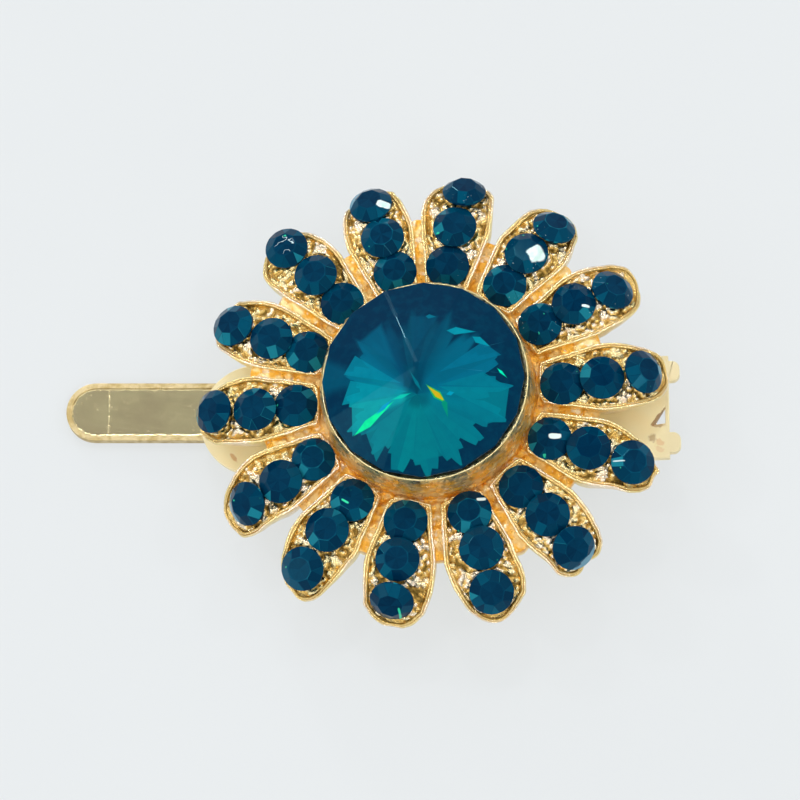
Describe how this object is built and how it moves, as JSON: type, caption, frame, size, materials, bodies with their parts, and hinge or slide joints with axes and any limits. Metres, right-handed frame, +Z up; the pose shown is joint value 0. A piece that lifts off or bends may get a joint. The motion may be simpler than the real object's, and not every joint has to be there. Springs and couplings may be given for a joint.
{
  "type": "hair barrette",
  "caption": "Gold flower hair barrette: a pointed teal centre stone and rows of round teal stones on a cast flower, soldered on a hinged spring clip with a long lower jaw.",
  "frame": {"origin": "on the flat underside of the lower jaw, on its centre line, below the middle of the flower", "axes": "+X along the clip towards the hinge and thumb tabs, +Y across it, +Z up through the flower"},
  "size_m": [0.0561, 0.0422, 0.0178],
  "materials": {
    "gold_casting": "polished gold plate on a cast zinc alloy, pebbled in the petals' floors",
    "clip_sheet": "pale gold plate, polished, on steel sheet",
    "steel": "plain drawn",
    "centre_glass": "faceted teal crystal with a foiled back",
    "stone_glass": "faceted dark teal crystal with a foiled back"
  },
  "bodies": {
    "jaw": {"lower_jaw": "clip_sheet", "spring": "steel"},
    "flower": {"upper_plate": "clip_sheet", "hinge_pin": "steel", "flower_casting": "gold_casting", "centre_stone": "centre_glass", "petal_01_stone_inner": "stone_glass", "petal_01_stone_middle": "stone_glass", "petal_01_stone_outer": "stone_glass", "petal_02_stone_inner": "stone_glass", "petal_02_stone_middle": "stone_glass", "petal_02_stone_outer": "stone_glass", "petal_03_stone_inner": "stone_glass", "petal_03_stone_middle": "stone_glass", "petal_03_stone_outer": "stone_glass", "petal_04_stone_inner": "stone_glass", "petal_04_stone_middle": "stone_glass", "petal_04_stone_outer": "stone_glass", "petal_05_stone_inner": "stone_glass", "petal_05_stone_middle": "stone_glass", "petal_05_stone_outer": "stone_glass", "petal_06_stone_inner": "stone_glass", "petal_06_stone_middle": "stone_glass", "petal_06_stone_outer": "stone_glass", "petal_07_stone_inner": "stone_glass", "petal_07_stone_middle": "stone_glass", "petal_07_stone_outer": "stone_glass", "petal_08_stone_inner": "stone_glass", "petal_08_stone_middle": "stone_glass", "petal_08_stone_outer": "stone_glass", "petal_09_stone_inner": "stone_glass", "petal_09_stone_middle": "stone_glass", "petal_09_stone_outer": "stone_glass", "petal_10_stone_inner": "stone_glass", "petal_10_stone_middle": "stone_glass", "petal_10_stone_outer": "stone_glass", "petal_11_stone_inner": "stone_glass", "petal_11_stone_middle": "stone_glass", "petal_11_stone_outer": "stone_glass", "petal_12_stone_inner": "stone_glass", "petal_12_stone_middle": "stone_glass", "petal_12_stone_outer": "stone_glass", "petal_13_stone_inner": "stone_glass", "petal_13_stone_middle": "stone_glass", "petal_13_stone_outer": "stone_glass", "petal_14_stone_inner": "stone_glass", "petal_14_stone_middle": "stone_glass", "petal_14_stone_outer": "stone_glass"}
  },
  "joints": [
    {"name": "clip_hinge", "type": "hinge", "parent": "jaw", "child": "flower", "pos_m": [0.01464, 0, 0.00278], "axis": [0, 1, 0], "range_deg": [0, 30], "stiffness_Nm_per_rad": 0.06, "springref_deg": -28.65, "deforming": ["spring"]}
  ]
}
